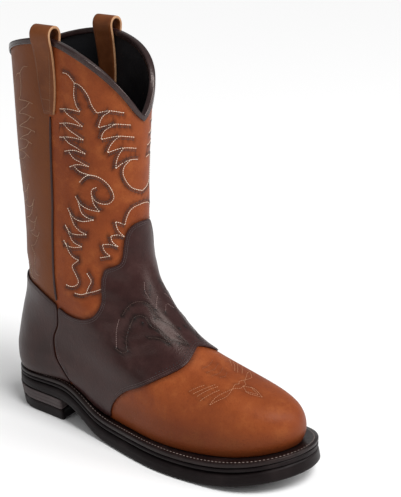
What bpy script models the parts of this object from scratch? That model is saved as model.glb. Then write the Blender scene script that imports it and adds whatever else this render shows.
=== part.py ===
"""A pull-on roper boot for the right foot: leather upper with overlays, pull straps, welted sole and stacked heel.

The toe points along -Y and the outer side of the foot is on -X. The floor is Z = 0.
Every leather piece is laid on one surface, surface(turn, ring): turn runs round the boot from the middle of
the back (0) by the outer side to the middle of the front (pi) and home by the inner side (2 pi), and ring
runs up the boot from the edge that meets the welt (0) to the top of the shaft.
"""

import bpy
import numpy as np
from mathutils.geometry import delaunay_2d_cdt

MM = 0.001

# Sizes of the last
LAST_LENGTH = 291 * MM
BALL_WIDTH = 92 * MM
FOOT_CURVE = 4 * MM
ANKLE_HEIGHT = 153 * MM

# Sizes of the shaft
SHAFT_TOP = 338 * MM
SHAFT_DEPTH = 142 * MM
SHAFT_WIDTH = 76 * MM
FRONT_DIP = 61 * MM
BACK_DIP = 26 * MM
DIP_ROUNDING = 0.06
DIP_SWEEP = 1.75

# Sizes of the sole and the heel
SOLE_AT_BALL = 20 * MM
SOLE_AT_HEEL = 15 * MM
HEEL_HEIGHT = 21 * MM
TOE_SPRING = 11 * MM
TOE_SPRING_SWEEP = 1.8
HEEL_LENGTH = 66 * MM
SEAT_RUN = 6 * MM
BALL_REAR = 120 * MM
BALL_FRONT = 215 * MM
TOE_MARGIN = 13 * MM
WAIST_MARGIN = 8 * MM
HEEL_MARGIN = 3 * MM
SOLE_FLARE = 2 * MM
FLARE_FROM = 0.25
FLARE_WITHIN = 0.3
EDGE_BEVEL = 1.2 * MM
HEEL_TAPER = 3.5 * MM
LIFT_SHARE = 0.5
BREAST_HOLLOW = 4 * MM
WELT_SHARE = 0.80
MIDSOLE_SHARE = 0.58
WELT_REACH = 4 * MM

WALL = 2.4 * MM
OVERLAY = 1.2 * MM
BINDING = 1.0 * MM
BINDING_LEG = 3.2 * MM
GAP = 0.38 * MM
OVERLAY_GAP = 0.45 * MM

# Sizes of the pull straps and the side piping
STRAP_WIDTH = 21 * MM
STRAP_THICKNESS = 2.4 * MM
STRAP_REACH = 60 * MM
STRAP_LOOP = 12 * MM
LOOP_SPREAD = 2.2 * MM
LOOP_SPRINGS_AT = 3 * MM
BINDING_CLEARANCE = 0.5 * MM
STRAP_END_ROUNDING = 3 * MM
STRAP_TAPER = 2.5 * MM
STRAP_END_SHARE = 0.14
PIPING_WIDTH = 2.6 * MM
PIPING_THICKNESS = 1.0 * MM

# How finely the pieces are made
COLUMNS = 48
FOOT_ROWS = (0, 0.5, 1, 1.6, 2.3, 3, 3.6, 4.2, 4.8, 5.4, 6, 6.7, 7.4, 8.1, 8.8, 9.5, 10.3, 11.1, 12)
SHAFT_ROWS = 9
CORNER_SPACING = 2.2 * MM

# The length of one radian of turn and of one ring where an outline is laid flat to be filled with triangles
FLAT_TURN = 80 * MM
FLAT_RING = 11 * MM

# One row for each ring of the foot. The lengths forward are shares of LAST_LENGTH, the rises are shares of
# the way from the welt to ANKLE_HEIGHT, and the half widths are shares of BALL_WIDTH. The two roundings are
# the shares of the ring's own length over which its ends close, and follow is how far the ring dips with the sole.
RING_COLUMNS = (
    "back", "back_rise", "front", "front_rise",
    "heel_width", "waist_width", "ball_width", "toe_width",
    "back_round", "front_round", "follow",
)
FOOT_RINGS = (
    (0.000, 0.000, 1.000, 0.000, 0.306, 0.311, 0.469, 0.425, 0.115, 0.195, 1.00),
    (-0.006, 0.063, 1.012, 0.069, 0.332, 0.347, 0.495, 0.445, 0.120, 0.195, 0.88),
    (-0.008, 0.134, 1.012, 0.145, 0.342, 0.367, 0.500, 0.445, 0.125, 0.200, 0.74),
    (-0.007, 0.197, 1.002, 0.217, 0.347, 0.378, 0.490, 0.425, 0.130, 0.210, 0.60),
    (-0.004, 0.252, 0.964, 0.283, 0.342, 0.378, 0.469, 0.398, 0.140, 0.225, 0.48),
    (0.001, 0.315, 0.872, 0.337, 0.337, 0.378, 0.454, 0.374, 0.155, 0.245, 0.36),
    (0.006, 0.378, 0.770, 0.388, 0.332, 0.378, 0.434, 0.357, 0.180, 0.260, 0.26),
    (0.012, 0.449, 0.706, 0.449, 0.332, 0.378, 0.418, 0.342, 0.210, 0.310, 0.17),
    (0.019, 0.520, 0.644, 0.529, 0.337, 0.383, 0.408, 0.337, 0.250, 0.360, 0.10),
    (0.030, 0.606, 0.582, 0.645, 0.347, 0.398, 0.408, 0.347, 0.300, 0.410, 0.05),
    (0.040, 0.709, 0.528, 0.783, 0.372, 0.412, 0.415, 0.372, 0.360, 0.450, 0.02),
    (0.041, 0.827, 0.494, 0.920, 0.390, 0.418, 0.418, 0.392, 0.420, 0.480, 0.00),
    (0.036, 0.945, 0.479, 1.050, 0.400, 0.416, 0.416, 0.405, 0.460, 0.490, 0.00),
)
# One row for each ring of the shaft: shares of SHAFT_DEPTH, of the way from ANKLE_HEIGHT to SHAFT_TOP, and
# of SHAFT_WIDTH.
SHAFT_RINGS = (
    (0.068, 0.190, 0.960, 0.210, 0.485, 0.500, 0.500, 0.485, 0.480, 0.450, 0.00),
    (0.038, 0.410, 0.957, 0.410, 0.490, 0.497, 0.497, 0.490, 0.460, 0.410, 0.00),
    (0.024, 0.630, 0.972, 0.630, 0.495, 0.498, 0.498, 0.495, 0.450, 0.380, 0.00),
    (0.012, 0.840, 0.995, 0.840, 0.500, 0.500, 0.500, 0.500, 0.440, 0.360, 0.00),
    (0.000, 1.000, 1.010, 1.000, 0.505, 0.505, 0.505, 0.505, 0.430, 0.350, 0.00),
)
WIDTH_STATIONS = (0.12, 0.40, 0.66, 0.85)

# Outlines of the pieces laid on the surface: degrees of turn from the middle of the back, and ring number.
# They are given for the outer half of the boot and mirrored onto the inner half.
SIDE_SEAM = ((79, 9.2), (72, 7.5), (64, 6.0), (58.5, 4.5), (57.5, 3.0), (60.5, 1.7), (64, 0.25))
TONGUE_EDGE = (
    (180, 12.97), (170, 12.95), (162, 12.87), (156, 12.72), (152.5, 12.45), (150, 12.15), (146, 11.92), (139, 11.78),
    (131, 11.65),
)
EAR_EDGE = ((131, 11.65), (126.5, 11.1), (121.5, 10.2), (115, 9.55), (105, 9.0), (92, 8.75), (84, 8.9), (79, 9.2))
TOE_EDGE = (
    (83, 0.25), (83.5, 1.0), (86, 2.1), (93, 3.5), (104, 4.4), (121, 5.4), (137, 6.1), (153, 6.8), (166, 7.35),
    (180, 7.7),
)
COUNTER_EDGE = ((0, 10.5), (25, 10.45), (47, 10.25), (63, 9.95), (73, 9.55), (79, 9.2))
COUNTER_STEP_BACK = 1.0
PIPING_LINE = ((79.5, 9.55), (84, 11.2), (87, 12.6), (90, 13.6))
STRAP_TURNS = (91, 87)

# The middle line of the foot seen from above: shares of the last's length, and of FOOT_CURVE towards the inside.
CURVE_STATIONS = (0.00, 0.12, 0.40, 0.60, 0.74, 0.88, 1.00)
CURVE_SHARES = (0.00, 0.00, -0.45, -0.33, 0.28, 0.85, 1.20)
MARGIN_STATIONS = (0.12, 0.40, 0.62, 0.90)


def hermite(stations, values, at):
    """A smooth curve through the values at the stations, held level beyond both ends."""
    stations = np.asarray(stations, float)
    values = [np.asarray(v, float) for v in values]
    slopes = []
    last = len(stations) - 1
    for i in range(last + 1):
        if i in (0, last):
            slopes.append(values[i] * 0.0)
        else:
            slopes.append((values[i + 1] - values[i - 1]) / (stations[i + 1] - stations[i - 1]))
    at = np.clip(at, stations[0], stations[last])
    result = values[0] + at * 0.0
    for i in range(last):
        width = stations[i + 1] - stations[i]
        s = (at - stations[i]) / width
        piece = (
            (1 + 2 * s) * (1 - s) ** 2 * values[i]
            + s * (1 - s) ** 2 * width * slopes[i]
            + s**2 * (3 - 2 * s) * values[i + 1]
            - s**2 * (1 - s) * width * slopes[i + 1]
        )
        result = np.where((at >= stations[i]) & (at <= stations[i + 1]), piece, result)
    return result


def ease(s):
    s = np.clip(s, 0.0, 1.0)
    return s * s * (3 - 2 * s)


def tread_height(forward):
    """The underside of the outsole above the floor, at a distance forward of the last's heel."""
    seat = HEEL_LENGTH + SEAT_RUN
    arch = HEEL_HEIGHT * (1 - ease((forward - seat) / (BALL_REAR - seat)))
    spring = np.clip((forward - BALL_FRONT) / (LAST_LENGTH - BALL_FRONT), 0.0, None)
    return arch + TOE_SPRING * spring**TOE_SPRING_SWEEP


def sole_thickness(forward):
    return SOLE_AT_HEEL + (SOLE_AT_BALL - SOLE_AT_HEEL) * ease(forward / BALL_REAR)


def welt_height(forward):
    return tread_height(forward) + sole_thickness(forward)


def ring_rows():
    """Both ring tables in metres, with the lengths forward of the last's heel and the heights above the floor."""
    heel_top = float(welt_height(0.0))
    toe_top = float(welt_height(LAST_LENGTH))
    rows = []
    for row in FOOT_RINGS:
        ring = dict(zip(RING_COLUMNS, row))
        rows.append(
            [
                ring["back"] * LAST_LENGTH,
                heel_top + ring["back_rise"] * (ANKLE_HEIGHT - heel_top),
                ring["front"] * LAST_LENGTH,
                toe_top + ring["front_rise"] * (ANKLE_HEIGHT - toe_top),
                *[ring[name] * BALL_WIDTH for name in RING_COLUMNS[4:8]],
                ring["back_round"], ring["front_round"], ring["follow"],
            ]
        )
    for row in SHAFT_RINGS:
        ring = dict(zip(RING_COLUMNS, row))
        rise = SHAFT_TOP - ANKLE_HEIGHT
        rows.append(
            [
                ring["back"] * SHAFT_DEPTH,
                ANKLE_HEIGHT + ring["back_rise"] * rise,
                ring["front"] * SHAFT_DEPTH,
                ANKLE_HEIGHT + ring["front_rise"] * rise,
                *[ring[name] * SHAFT_WIDTH for name in RING_COLUMNS[4:8]],
                ring["back_round"], ring["front_round"], ring["follow"],
            ]
        )
    return np.array(rows)


ROWS = ring_rows()
TOP_RING = len(ROWS) - 1
ANKLE_RING = len(FOOT_RINGS) - 1


def ring_values(ring):
    """The columns of the ring table at any place between its rows, by a Catmull-Rom curve."""
    padded = np.vstack([2 * ROWS[0] - ROWS[1], ROWS, 2 * ROWS[-1] - ROWS[-2]])
    ring = np.asarray(ring, float)
    step = np.clip(np.floor(ring).astype(int), 0, TOP_RING - 1)
    s = (ring - step)[..., None]
    p0, p1, p2, p3 = (padded[step + i] for i in range(4))
    values = 0.5 * (
        2 * p1 + (p2 - p0) * s + (2 * p0 - 5 * p1 + 4 * p2 - p3) * s**2 + (3 * p1 - p0 - 3 * p2 + p3) * s**3
    )
    return np.moveaxis(values, -1, 0)


def closing(share):
    """1 along the ring's length, falling to 0 as a quarter ellipse at its end."""
    return np.sqrt(np.clip(1 - (1 - np.clip(share, 0.0, 1.0)) ** 2, 0.0, 1.0))


def middle_line(along):
    """How far the foot's middle line lies towards the inside of the foot."""
    return FOOT_CURVE * hermite(CURVE_STATIONS, CURVE_SHARES, along)


def height_on(back, back_z, front, front_z, follow, along):
    forward = back + (front - back) * along
    dip = welt_height(forward) - (welt_height(back) + (welt_height(front) - welt_height(back)) * along)
    return back_z + (front_z - back_z) * along + follow * dip


def surface(turn, ring):
    """A point of the boot's outside."""
    turn, ring = np.broadcast_arrays(np.asarray(turn, float), np.asarray(ring, float))
    back, back_z, front, front_z, heel, waist, ball, toe, back_round, front_round, follow = ring_values(ring)
    along = (1 - np.cos(turn)) / 2
    forward = back + (front - back) * along
    half = hermite(WIDTH_STATIONS, (heel, waist, ball, toe), along)
    half = half * closing(along / back_round) * closing((1 - along) / front_round)
    side = np.where(np.sin(turn) >= 0, 1.0, -1.0)
    x = follow * middle_line(along) - side * half
    z = height_on(back, back_z, front, front_z, follow, along)
    return np.stack([x, -forward, z], axis=-1)


def outward(turn, ring):
    """The unit normal of the surface, pointing away from the foot."""
    small = 1e-3
    across = surface(turn + small, ring) - surface(turn - small, ring)
    up = surface(turn, ring + small) - surface(turn, ring - small)
    normal = np.cross(across, up)
    return normal / np.linalg.norm(normal, axis=-1, keepdims=True)


def laid(turn, ring, out=0.0):
    """A point at a distance out from the boot's outside."""
    return surface(turn, ring) + np.asarray(out)[..., None] * outward(turn, ring)


def collar_height(turn):
    """The top edge of the shaft: high at the sides, with a V in front and a lower one behind."""
    quarter = np.pi / 2
    away = np.abs(np.mod(turn, np.pi) - quarter) / quarter
    blunt = np.sqrt((1 - away) ** 2 + DIP_ROUNDING**2) - DIP_ROUNDING
    depth = np.where(np.cos(turn) < 0, FRONT_DIP, BACK_DIP)
    return SHAFT_TOP - depth * np.clip(1 - blunt, 0.0, 1.0) ** DIP_SWEEP


def collar_ring(turn):
    """The ring number of the collar's edge at each turn."""
    turn = np.asarray(turn, float)
    target = collar_height(turn)
    low = np.full(turn.shape, float(ANKLE_RING))
    high = np.full(turn.shape, float(TOP_RING))
    for _ in range(40):
        middle = (low + high) / 2
        below = surface(turn, middle)[..., 2] < target
        low = np.where(below, middle, low)
        high = np.where(below, high, middle)
    return (low + high) / 2


def ring_at(turn, height):
    """The ring number at a height in the shaft, and how far the height stands above the last ring."""
    turn, height = np.broadcast_arrays(np.asarray(turn, float), np.asarray(height, float))
    low = np.full(turn.shape, float(ANKLE_RING))
    high = np.full(turn.shape, float(TOP_RING))
    for _ in range(40):
        middle = (low + high) / 2
        below = surface(turn, middle)[..., 2] < height
        low = np.where(below, middle, low)
        high = np.where(below, high, middle)
    return (low + high) / 2, np.clip(height - SHAFT_TOP, 0.0, None)


def solid(name, points, faces, material):
    mesh = bpy.data.meshes.new(name)
    mesh.from_pydata([tuple(p) for p in points], [], [tuple(int(i) for i in f) for f in faces])
    mesh.update()
    thing = bpy.data.objects.new(name, mesh)
    bpy.context.collection.objects.link(thing)
    mesh.materials.append(material)
    return thing


def paint(name, colour, roughness):
    material = bpy.data.materials.new(name)
    material.use_nodes = True
    shader = material.node_tree.nodes["Principled BSDF"]
    shader.inputs["Base Color"].default_value = (*colour, 1.0)
    shader.inputs["Roughness"].default_value = roughness
    return material


def tube(loops):
    """Points and faces of a closed band through equal loops, the last one joined to the first."""
    count = len(loops[0])
    many = len(loops)
    faces = []
    for i in range(many):
        for j in range(count):
            near, far = i * count, (i + 1) % many * count
            after = (j + 1) % count
            faces.append((near + j, near + after, far + after, far + j))
    return np.vstack(loops), faces


def plate(loops):
    """A slab through loops from its underside up, closed by rungs between its outer and its inner edge."""
    count = len(loops[0])
    faces = []
    for i in range(len(loops) - 1):
        for j in range(count):
            after = (j + 1) % count
            low, high = i * count, (i + 1) * count
            faces.append((low + j, low + after, high + after, high + j))
    top = (len(loops) - 1) * count
    for j in range(count // 2):
        rung = (j, j + 1, (count - j - 1) % count, (count - j) % count)
        rung = tuple(dict.fromkeys(rung))
        faces.append(tuple(reversed(rung)))
        faces.append(tuple(top + k for k in rung))
    return np.vstack(loops), faces


def smooth_line(table, steps):
    """Points along a Catmull-Rom curve through the rows of a table."""
    rows = np.array(table, float)
    padded = np.vstack([2 * rows[0] - rows[1], rows, 2 * rows[-1] - rows[-2]])
    line = []
    for i in range(len(rows) - 1):
        p0, p1, p2, p3 = padded[i:i + 4]
        for k in range(steps):
            s = k / steps
            line.append(
                0.5 * (2 * p1 + (p2 - p0) * s + (2 * p0 - 5 * p1 + 4 * p2 - p3) * s**2
                       + (3 * p1 - p0 - 3 * p2 + p3) * s**3)
            )
    line.append(rows[-1])
    return np.array(line)


def other_half(line):
    """The same line on the inner half of the boot, run the other way."""
    return (line * (-1, 1))[::-1]


def made_rings(turn):
    """The rings at which the upper has its rows, at one turn."""
    top = collar_ring(turn)
    steps = np.arange(1, SHAFT_ROWS + 1) / SHAFT_ROWS
    return np.concatenate([FOOT_ROWS, ANKLE_RING + (top - ANKLE_RING) * steps])


COLUMN_TURN = 2 * np.pi / COLUMNS
MADE_ROWS = np.array([made_rings(column * COLUMN_TURN) for column in range(COLUMNS)])


def laid_on_facets(turns, rings, out):
    """Points at a distance out from the upper as it is made, with flat facets between its columns and rows."""
    points = []
    for turn, ring in zip(turns, rings):
        column = int(np.floor(turn / COLUMN_TURN))
        across = turn / COLUMN_TURN - column
        sides = np.array([column, column + 1]) * COLUMN_TURN
        rows = MADE_ROWS[[column % COLUMNS, (column + 1) % COLUMNS]]
        level = rows[0] * (1 - across) + rows[1] * across
        row = int(np.clip(np.searchsorted(level, ring) - 1, 0, len(level) - 2))
        up = (ring - level[row]) / (level[row + 1] - level[row])
        corners = rows[:, row:row + 2]
        shares = np.outer([1 - across, across], [1 - up, up])[..., None]
        base = (surface(sides[:, None], corners) * shares).sum(axis=(0, 1))
        normal = (outward(sides[:, None], corners) * shares).sum(axis=(0, 1))
        points.append(base + out * normal / np.linalg.norm(normal))
    return np.array(points)


def inside(points, outline):
    """Which points lie within an outline."""
    within = np.zeros(len(points), bool)
    after = np.roll(outline, -1, axis=0)
    for (x0, y0), (x1, y1) in zip(outline, after):
        if y0 == y1:
            continue
        crosses = (points[:, 1] > min(y0, y1)) & (points[:, 1] <= max(y0, y1))
        at = x0 + (points[:, 1] - y0) / (y1 - y0) * (x1 - x0)
        within ^= crosses & (points[:, 0] < at)
    return within


def clear_of(points, outline):
    """How far each point lies from an outline."""
    best = np.full(len(points), np.inf)
    after = np.roll(outline, -1, axis=0)
    for start, end in zip(outline, after):
        way = end - start
        share = np.clip((points - start) @ way / max(way @ way, 1e-18), 0, 1)
        best = np.minimum(best, np.linalg.norm(points - start - share[:, None] * way, axis=1))
    return best


def patch(line, out, thickness):
    """Leather cut to an outline of turns in degrees and rings, with its corners on those of the upper."""
    scale = np.array([FLAT_TURN, FLAT_RING])
    outline = np.array(line) * (np.pi / 180, 1) * scale
    lattice = []
    for column in range(-COLUMNS // 2, COLUMNS + 1):
        for ring in MADE_ROWS[column % COLUMNS]:
            lattice.append((column * COLUMN_TURN, ring))
    lattice = np.array(lattice) * scale
    lattice = lattice[inside(lattice, outline)]
    lattice = lattice[clear_of(lattice, outline) > CORNER_SPACING]
    flat = np.vstack([outline, lattice])
    result = delaunay_2d_cdt([tuple(p) for p in flat], [], [list(range(len(outline)))], 1, 1e-7)
    spots = np.array([tuple(p) for p in result[0]]) / scale
    triangles = [tuple(f) for f in result[2]]
    count = len(spots)
    points = np.vstack([laid_on_facets(*spots.T, out + thickness), laid_on_facets(*spots.T, out)])
    faces = list(triangles)
    edges = {(f[k], f[(k + 1) % 3]) for f in triangles for k in range(3)}
    for f in triangles:
        faces.append(tuple(count + i for i in reversed(f)))
    for a, b in sorted(edges):
        if (b, a) not in edges:
            faces.append((b, a, count + a, count + b))
    return points, faces


def sole_edge(turn, extra=0.0):
    """The sole's outline seen from above, as points on the floor. extra moves it out, or in where negative."""
    turn = np.asarray(turn, float)
    base = surface(turn, 0.0 * turn)
    small = 1e-3
    run = surface(turn + small, 0.0 * turn) - surface(turn - small, 0.0 * turn)
    across = np.stack([run[:, 1], -run[:, 0]], axis=-1)
    across /= np.linalg.norm(across, axis=-1, keepdims=True)
    along = (1 - np.cos(turn)) / 2
    margin = hermite(MARGIN_STATIONS, (HEEL_MARGIN, WAIST_MARGIN, WAIST_MARGIN, TOE_MARGIN), along)
    return base[:, :2] + across * (margin + extra)[:, None]


def at_level(edge, share, drop=0.0):
    """An outline lifted to a share of the sole's thickness."""
    forward = -edge[:, 1]
    height = tread_height(forward) + share * sole_thickness(forward) - drop
    return np.column_stack([edge, height])


def upper():
    turns = np.arange(COLUMNS) * COLUMN_TURN
    outer = [laid(turns, row, 0.0 * turns) for row in MADE_ROWS.T]
    inner = [laid(turns, row, 0.0 * turns - WALL) for row in MADE_ROWS.T]
    return tube(outer + inner[::-1])


def collar_binding():
    turns = np.arange(COLUMNS) * COLUMN_TURN
    rings = collar_ring(turns)
    edge = surface(turns, rings)
    out = outward(turns, rings)
    run = np.roll(edge, -1, axis=0) - np.roll(edge, 1, axis=0)
    down = np.cross(out, run)
    down /= np.linalg.norm(down, axis=1, keepdims=True)
    down *= np.where(down[:, 2:] > 0, -1, 1)
    far = -WALL - GAP
    section = (
        (GAP, BINDING_LEG), (GAP, -GAP), (far, -GAP), (far, BINDING_LEG),
        (far - BINDING, BINDING_LEG), (far - BINDING, -GAP - BINDING), (GAP + BINDING, -GAP - BINDING),
        (GAP + BINDING, BINDING_LEG),
    )
    return tube([edge + out * a + down * b for a, b in section][::-1])


def strap_path():
    """The strap's inner face seen along the shaft: distance out from the surface, and height from the collar."""
    rest = GAP
    stand = 2 * GAP + BINDING + BINDING_CLEARANCE
    inner = -WALL - rest
    lean = -WALL - stand
    middle = (stand + lean) / 2
    half = (stand - lean) / 2 + LOOP_SPREAD
    rows = [(rest, -STRAP_REACH), (rest, -0.7 * STRAP_REACH), (rest, -0.4 * STRAP_REACH)]
    rows += [(stand * 0.7, -2.6 * BINDING_LEG), (stand, -1.5 * BINDING_LEG), (stand + 1.2 * MM, 0.0)]
    for angle in np.radians((20, 50, 75, 105, 130, 160)):
        rise = STRAP_LOOP - LOOP_SPRINGS_AT - STRAP_THICKNESS
        rows.append((middle + half * np.cos(angle), LOOP_SPRINGS_AT + rise * np.sin(angle)))
    rows += [(lean - 1.2 * MM, 0.0), (lean, -1.5 * BINDING_LEG), (inner - stand * 0.7, -2.6 * BINDING_LEG)]
    rows += [(inner, -0.4 * STRAP_REACH), (inner, -0.7 * STRAP_REACH), (inner, -STRAP_REACH)]
    return np.array(rows)


def strap(side):
    path = strap_path()
    run = np.gradient(path, axis=0)
    run /= np.linalg.norm(run, axis=1, keepdims=True)
    face_out = np.column_stack([run[:, 1], -run[:, 0]])
    back = path + face_out * STRAP_THICKNESS
    top_turn = np.radians(STRAP_TURNS[1])
    collar = float(collar_height(np.array(top_turn)))
    loops = []
    for share in (-1.0, -0.35, 0.35, 1.0):
        corners = np.vstack([path, back[::-1]])
        lean = np.clip(-corners[:, 1] / STRAP_REACH, 0, 1)
        turn = np.radians(STRAP_TURNS[1] + (STRAP_TURNS[0] - STRAP_TURNS[1]) * lean)
        ring, _ = ring_at(turn, collar + corners[:, 1])
        reach = np.linalg.norm(surface(turn + 0.01, ring) - surface(turn - 0.01, ring), axis=1) / 0.02
        end = np.clip((lean - 1) / STRAP_END_SHARE + 1, 0, 1)
        half_width = STRAP_WIDTH / 2 - STRAP_TAPER * lean - STRAP_END_ROUNDING * end * abs(share) ** 3
        turn = turn + share * half_width / reach
        ring, above = ring_at(turn, collar + corners[:, 1])
        spot = laid(side * turn, ring, corners[:, 0])
        spot[:, 2] += above
        loops.append(spot)
    count = len(loops[0])
    faces = []
    for i in range(len(loops) - 1):
        for j in range(count):
            after = (j + 1) % count
            near, far = i * count, (i + 1) * count
            faces.append((near + j, near + after, far + after, far + j))
    half = count // 2
    last = (len(loops) - 1) * count
    for j in range(half - 1):
        rung = (j, j + 1, count - j - 2, count - j - 1)
        faces.append(tuple(reversed(rung)))
        faces.append(tuple(last + k for k in rung))
    if side < 0:
        faces = [tuple(reversed(f)) for f in faces]
    return np.vstack(loops), faces


def piping(side):
    end_turn = STRAP_TURNS[0]
    collar = collar_height(np.radians(STRAP_TURNS[1]))
    end_ring, _ = ring_at(np.radians(end_turn), collar - STRAP_REACH - 2 * GAP)
    line = smooth_line((*PIPING_LINE, (end_turn, float(end_ring))), 3)
    reach = np.degrees(PIPING_WIDTH / 2 / FLAT_TURN)
    outline = np.vstack([line + (reach, 0), (line - (reach, 0))[::-1]])
    if side < 0:
        outline = other_half(outline)
    return patch(outline, OVERLAY_GAP, PIPING_THICKNESS)


def vamp():
    half = np.vstack([
        smooth_line(TONGUE_EDGE, 2)[:-1], smooth_line(EAR_EDGE, 2)[:-1], smooth_line(SIDE_SEAM, 2),
        smooth_line(((70, 0.25), (76, 0.25), TOE_EDGE[0]), 1)[:-1], smooth_line(TOE_EDGE, 2),
    ])
    whole = np.vstack([half, ((half[1:-1] * (-1, 1)) + (360, 0))[::-1]])
    return patch(whole, OVERLAY_GAP, OVERLAY)


def counter():
    seam = smooth_line(SIDE_SEAM, 2) - (COUNTER_STEP_BACK, 0)
    top = smooth_line(COUNTER_EDGE, 3)[:-1]
    column = 360 / COLUMNS
    columns = np.arange(int(seam[-1, 0] // column), -1, -1) * column
    bottom = np.column_stack([columns, np.full(len(columns), seam[-1, 1])])
    half = np.vstack([top, seam, bottom])
    whole = np.vstack([half, (half[1:-1] * (-1, 1))[::-1]])
    return patch(whole, OVERLAY_GAP, OVERLAY)


def welt():
    turns = np.arange(COLUMNS) * COLUMN_TURN
    outer = sole_edge(turns)
    inner = welt_inside(turns, 0.0)
    loops = [at_level(outer, WELT_SHARE), at_level(outer, 1.0, GAP), at_level(inner, 1.0, GAP),
             at_level(inner, WELT_SHARE)]
    return tube(loops)


def welt_inside(turns, extra):
    """The inner edge of the welt seen from above, drawn in further by extra."""
    margin = hermite(MARGIN_STATIONS, (HEEL_MARGIN, WAIST_MARGIN, WAIST_MARGIN, TOE_MARGIN), (1 - np.cos(turns)) / 2)
    return sole_edge(turns, -margin - WELT_REACH - extra)


def midsole():
    edge = sole_edge(np.arange(COLUMNS) * COLUMN_TURN)
    return plate([at_level(edge, MIDSOLE_SHARE), at_level(edge, WELT_SHARE, GAP)])


def outsole():
    turns = np.arange(COLUMNS) * COLUMN_TURN
    flare = SOLE_FLARE * ease(((1 - np.cos(turns)) / 2 - FLARE_FROM) / FLARE_WITHIN)
    loops = [at_level(sole_edge(turns, flare - EDGE_BEVEL), 0.0)]
    loops.append(at_level(sole_edge(turns, flare), 0.0, -EDGE_BEVEL))
    loops.append(at_level(sole_edge(turns), MIDSOLE_SHARE, GAP))
    return plate(loops)


def insole():
    edge = welt_inside(np.arange(COLUMNS) * COLUMN_TURN, GAP)
    return plate([at_level(edge, WELT_SHARE), at_level(edge, 1.0)])


def heel_block(low, high):
    """A layer of the heel between two heights: the sole's outline behind a hollow breast."""
    loops = []
    for height in (low, high):
        taper = HEEL_TAPER * (1 - height / HEEL_HEIGHT)
        turns = np.linspace(0, np.pi, 400)
        edge = sole_edge(turns, 0.0 * turns - taper)
        last = turns[np.argmax(-edge[:, 1] > HEEL_LENGTH)]
        turns = np.linspace(0, last, 13)
        outer = sole_edge(turns, 0.0 * turns - taper)
        inner = sole_edge(-turns, 0.0 * turns - taper)
        across = np.linspace(0, 1, 7)[1:-1, None]
        breast = outer[-1] + (inner[-1] - outer[-1]) * across
        breast[:, 1] += BREAST_HOLLOW * 4 * (across * (1 - across))[:, 0]
        edge = np.vstack([outer, breast, inner[:0:-1]])
        loops.append(np.column_stack([edge, np.full(len(edge), height)]))
    count = len(loops[0])
    faces = []
    for j in range(count):
        after = (j + 1) % count
        faces.append((j, after, count + after, count + j))
        faces.append((after, j, 2 * count))
        faces.append((count + j, count + after, 2 * count + 1))
    middles = [loop.mean(axis=0) for loop in loops]
    return np.vstack(loops + [np.array(middles)]), faces


def main():
    for thing in list(bpy.data.objects):
        bpy.data.objects.remove(thing)
    tan = paint("tan leather", (0.42, 0.17, 0.06), 0.45)
    brown = paint("brown leather", (0.06, 0.03, 0.025), 0.4)
    rubber = paint("black rubber", (0.02, 0.02, 0.02), 0.6)
    stacked = paint("stacked leather", (0.10, 0.07, 0.06), 0.6)
    board = paint("insole board", (0.05, 0.04, 0.035), 0.8)
    lift = HEEL_HEIGHT * LIFT_SHARE
    made = [
        solid("upper", *upper(), tan),
        solid("vamp", *vamp(), brown),
        solid("counter", *counter(), brown),
        solid("collar_binding", *collar_binding(), brown),
        solid("pull_strap_outer", *strap(1), tan),
        solid("pull_strap_inner", *strap(-1), tan),
        solid("side_piping_outer", *piping(1), brown),
        solid("side_piping_inner", *piping(-1), brown),
        solid("welt", *welt(), brown),
        solid("midsole", *midsole(), rubber),
        solid("outsole", *outsole(), rubber),
        solid("heel_stack", *heel_block(lift, HEEL_HEIGHT - GAP), stacked),
        solid("heel_lift", *heel_block(0.0, lift - GAP), rubber),
        solid("insole", *insole(), board),
    ]
    corners = np.array([v.co for thing in made for v in thing.data.vertices])
    middle = (corners.min(axis=0) + corners.max(axis=0)) / 2
    for thing in made:
        for vertex in thing.data.vertices:
            vertex.co.x -= middle[0]
            vertex.co.y -= middle[1]


if __name__ == "__main__":
    main()
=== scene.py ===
import math

import bpy
import numpy as np
from mathutils import Matrix, Vector, kdtree
from mathutils.bvhtree import BVHTree


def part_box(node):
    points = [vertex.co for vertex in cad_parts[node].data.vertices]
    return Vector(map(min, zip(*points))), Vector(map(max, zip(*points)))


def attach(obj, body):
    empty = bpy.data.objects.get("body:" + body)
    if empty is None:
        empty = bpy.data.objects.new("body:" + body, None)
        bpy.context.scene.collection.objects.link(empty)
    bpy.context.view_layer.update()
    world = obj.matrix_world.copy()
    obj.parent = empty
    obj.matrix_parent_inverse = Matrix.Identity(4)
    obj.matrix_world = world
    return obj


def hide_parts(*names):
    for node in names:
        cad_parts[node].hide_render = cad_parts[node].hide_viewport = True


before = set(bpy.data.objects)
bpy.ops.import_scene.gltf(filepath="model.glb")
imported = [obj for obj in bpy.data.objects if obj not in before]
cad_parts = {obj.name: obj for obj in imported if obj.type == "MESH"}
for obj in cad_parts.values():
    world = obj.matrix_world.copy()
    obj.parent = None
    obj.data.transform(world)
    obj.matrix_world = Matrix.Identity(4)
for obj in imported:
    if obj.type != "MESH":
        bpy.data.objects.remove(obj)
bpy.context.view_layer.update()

MM = 0.001

# Upper: one hollow boot of waxed tan leather, cut, crimped and lasted over the foot, with a black leather
# lining inside. The leather is about 2.4 mm thick and creases softly where the ankle and the instep bend it.


# Numbers of the node sockets that the finishes use.
OBJECT_PLACE = 3
FACTOR = 2
UP_AXIS = 2
FIRST_COLOUR = 6
SECOND_COLOUR = 7
MIXED_COLOUR = 2


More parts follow.
